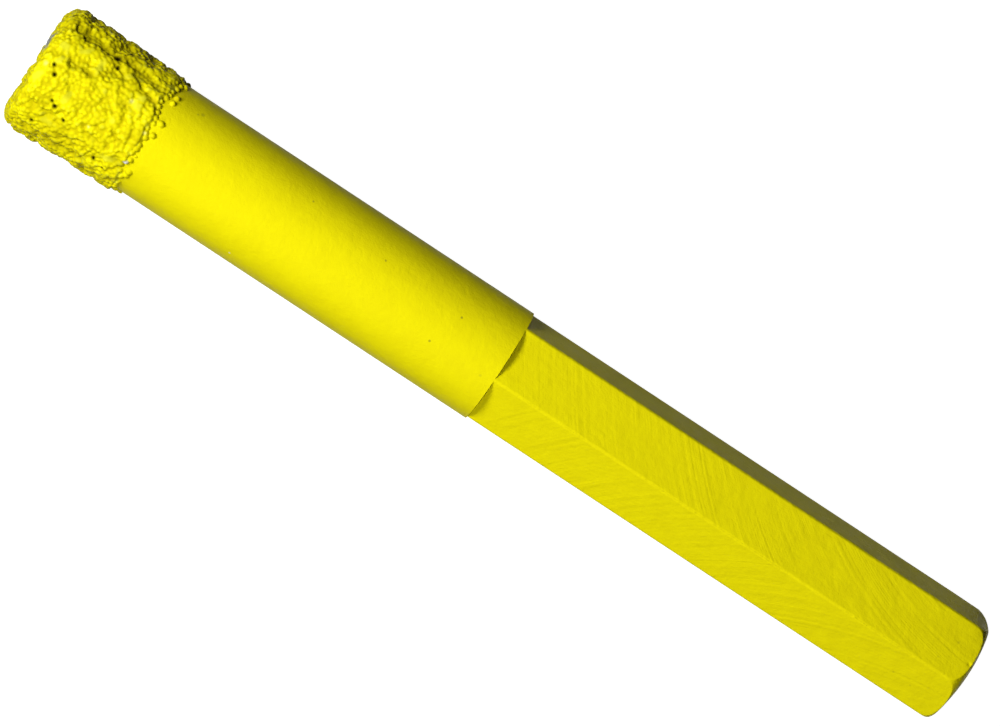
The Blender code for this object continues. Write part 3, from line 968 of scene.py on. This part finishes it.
def add_unseen_marks(field):
    """Valleys and swellings at random on the sides that the picture doesn't show."""
    rng = field.rng
    first, last = MARK_MARGINS[0], field.travel[-1] - MARK_MARGINS[1]
    for _ in range(UNSEEN_VALLEYS):
        travel, angle = rng.uniform(first, last), unseen_angle(rng)
        heading, length = rng.normal(*VALLEY_HEADINGS), rng.uniform(*VALLEY_LENGTHS) * MM
        end = (travel + length * math.cos(heading), angle + length * math.sin(heading) / BODY_RADIUS)
        width, depth = rng.uniform(*VALLEY_WIDTHS) * PIXEL, rng.uniform(*VALLEY_SHARES) * VALLEY_DEPTH
        field.stroke((travel, angle), end, width, depth)
    for _ in range(UNSEEN_SWELLINGS):
        place = (rng.uniform(first, last), unseen_angle(rng))
        length, width = rng.uniform(*SWELLING_LENGTHS) * PIXEL, rng.uniform(*SWELLING_WIDTHS) * PIXEL
        heading, height = rng.uniform(0, math.pi), rng.uniform(*SWELLING_SHARES) * SWELLING_HEIGHT
        field.swell(place, length, width, heading, height)


def layer_heights(field, edge):
    """How high the grit stands over the tube, and how far past its rear edge a point lies, from 0 to 1."""
    sink = field.sink * np.clip(field.room / FULL_LAYER, THIN_LAYER_SHARE, 1.0)
    depth = soft_max(sink - field.grains, 0.0, TOP_SOFTNESS)
    deepest = HOLLOW_REACH * field.room - GRAINS_IN_HOLLOWS * field.grains
    height = field.room - soft_min(depth, deepest, HOLLOW_SOFTNESS)
    on_wall = (field.out_r > 0.99)[:, None]
    beyond = np.clip((field.x[:, None] + EDGE_TUCK - edge[None, :]) / EDGE_FALL + 0.5, 0.0, 1.0) * on_wall
    return height, beyond


def add_beads(field, height, edge):
    """Raises single grains that stand clear of the edge, with the bare one among them."""
    rng = field.rng
    spots = [(*field.place(along, across), size, tall)
             for along, across, size, tall in BEADS + (BARE_GRAIN,)]
    for _ in range(BEAD_TRIES):
        angle = rng.uniform(0, math.tau)
        unseen = abs(wrapped(angle - SEEN_MIDDLE)) > SEEN_HALF_TURN
        stray = unseen and rng.uniform() >= STRAYS_FROM
        behind = abs(rng.normal(*STRAYS_BEHIND)) if stray else rng.normal(*BEADS_BEHIND)
        travel = field.travel_at(float(np.interp(angle, field.angle, edge, period=math.tau)) + behind * MM)
        gaps = [math.hypot(travel - other[0], wrapped(angle - other[1]) * BODY_RADIUS) for other in spots]
        if min(gaps) > rng.uniform(*BEAD_SPACING) * MM:
            spots.append((travel, angle, rng.uniform(*BEAD_SIZES), rng.uniform(*BEAD_SHARES)))
    for travel, angle, size, tall in spots:
        radius = size * (BEAD_WIDENING * PIXEL)
        block, along, round_way = field.block(travel, angle, 1.5 * radius)
        dome = np.clip(1 - (along**2 + round_way**2) / radius**2, 0, 1) ** BEAD_POWER
        bead = -BEAD_FOOT + (tall * BEAD_HEIGHT + BEAD_FOOT) * dome
        height[block] = soft_max(height[block], bead, BEAD_SOFTNESS)

    along, across, size, _ = BARE_GRAIN
    block, along_path, round_way = field.block(*field.place(along, across), 3 * size * PIXEL)
    away = np.hypot(along_path, round_way) / (size * PIXEL)
    field.mark("bare", block, np.clip(BARE_STRENGTH - BARE_FALL * away, 0, 1))


def add_pits(field):
    """Small deep holes, painted near black."""
    rng = field.rng
    spots = [(*field.place(along, across), size * PIXEL) for along, across, size in PITS]
    for _ in range(UNSEEN_PITS):
        angle = unseen_angle(rng)
        travel = rng.uniform(PIT_MARGINS[0], field.travel[-1] - PIT_MARGINS[1])
        spots.append((travel, angle, rng.uniform(*PIT_RADII) * PIXEL))
    for travel, angle, size in spots:
        block, along, round_way = field.block(travel, angle, 3 * size)
        away = np.hypot(along, round_way) / (PIT_WIDENING * size)
        field.pits[block] += PIT_DEPTH * np.exp(-(away**2) * PIT_SHARPNESS)
        field.mark("pit", block, np.clip(PIT_STRENGTH - away, 0, 1))


def wear_rim(field):
    """Rubs the coating off a short stretch of the tip's rim."""
    start, end, low, high = WORN_RIM
    end_softness, side_softness = WORN_SOFTNESS
    turn = wrapped(field.angle)
    round_way = np.clip(np.minimum(turn - start, end - turn) / end_softness, 0, 1)
    across = np.clip(np.minimum(field.radius - low, high - field.radius) / side_softness, 0, 1)
    front = field.x < TIP_X + 0.5 * NOSE_LENGTH
    patchy = 0.5 + 0.5 * field.waves(*WORN_WAVES)
    worn = WORN_STRENGTH * (across * front)[:, None] * round_way[None, :] * patchy
    field.paint["worn"][:] = np.clip(worn, 0, 1)


def crown_points(field, height):
    """The points of the grit's surface, and of its seat inside the wall of the tube."""
    sink = field.room - height
    x = field.x[:, None] - sink * field.out_x[:, None]
    radius = field.radius[:, None] - sink * field.out_r[:, None]
    bore_seat, rim_seat = BORE_RADIUS + SEAT_OVERLAP, RIM_X + SEAT_OVERLAP
    body_seat = BODY_RADIUS - 2 * SEAT_OVERLAP
    seat = np.array([(field.x[-1], bore_seat), (rim_seat, bore_seat), (rim_seat, BODY_RADIUS - SEAT_CORNER),
                     (RIM_X + SEAT_CORNER, body_seat), (field.x[0], body_seat)])
    whole_round = np.ones((1, GRIT_COLUMNS))
    x = np.vstack([x, seat[:, 0][:, None] * whole_round])
    radius = np.vstack([radius, seat[:, 1][:, None] * whole_round])
    return np.clip(round_points(x, radius, field.angle), list(crown_low), list(crown_high))


def add_crown():
    """The grit: rounded grains smothered by the coating, on a closed layer round the rim of the tube."""
    field = GritField(GRIT_SEED)
    edge = rear_edge(field)
    add_waves(field)
    add_grains(field, scatter_grains(field, edge))
    add_seen_marks(field)
    add_unseen_marks(field)
    height, beyond = layer_heights(field, edge)
    fall = beyond**2 * (3 - 2 * beyond)
    height = height * (1 - fall) - SEAT_OVERLAP * fall
    add_beads(field, height, edge)
    add_pits(field)
    wear_rim(field)
    height = np.minimum(height - field.pits * (1 - fall), field.room)
    # How far up a grain each point lies, for painted shade between grains and a painted highlight on top
    # Single grains behind the edge, pale grains and swellings get more of the painted highlight
    behind_edge = BEHIND_CREST * (beyond > BEHIND_FROM)
    crest_light = field.grains / GRAIN_HEIGHTS[1] + behind_edge + PALE_CREST * field.paint["pale"] + field.smooth
    field.paint["crest_light"] = np.clip(crest_light, 0, 1)

    points = crown_points(field, height)
    mesh = grid_mesh("diamond_crown_grit", points, wrap=True)
    seat_rows = len(points) - len(height)
    for name, values in field.paint.items():
        add_layer(mesh, name, np.pad(values, ((0, seat_rows), (0, 0))))
    mesh.shade_smooth()
    mesh.materials.append(grit_material())
    crown = new_object("diamond_crown_grit", mesh)
    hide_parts("diamond_crown")
    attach(crown, "root")


add_camera()
add_body()
add_crown()
add_floor()
add_lamps()
add_world()
bpy.context.scene.view_settings.view_transform = "Standard"

bpy.context.view_layer.update()
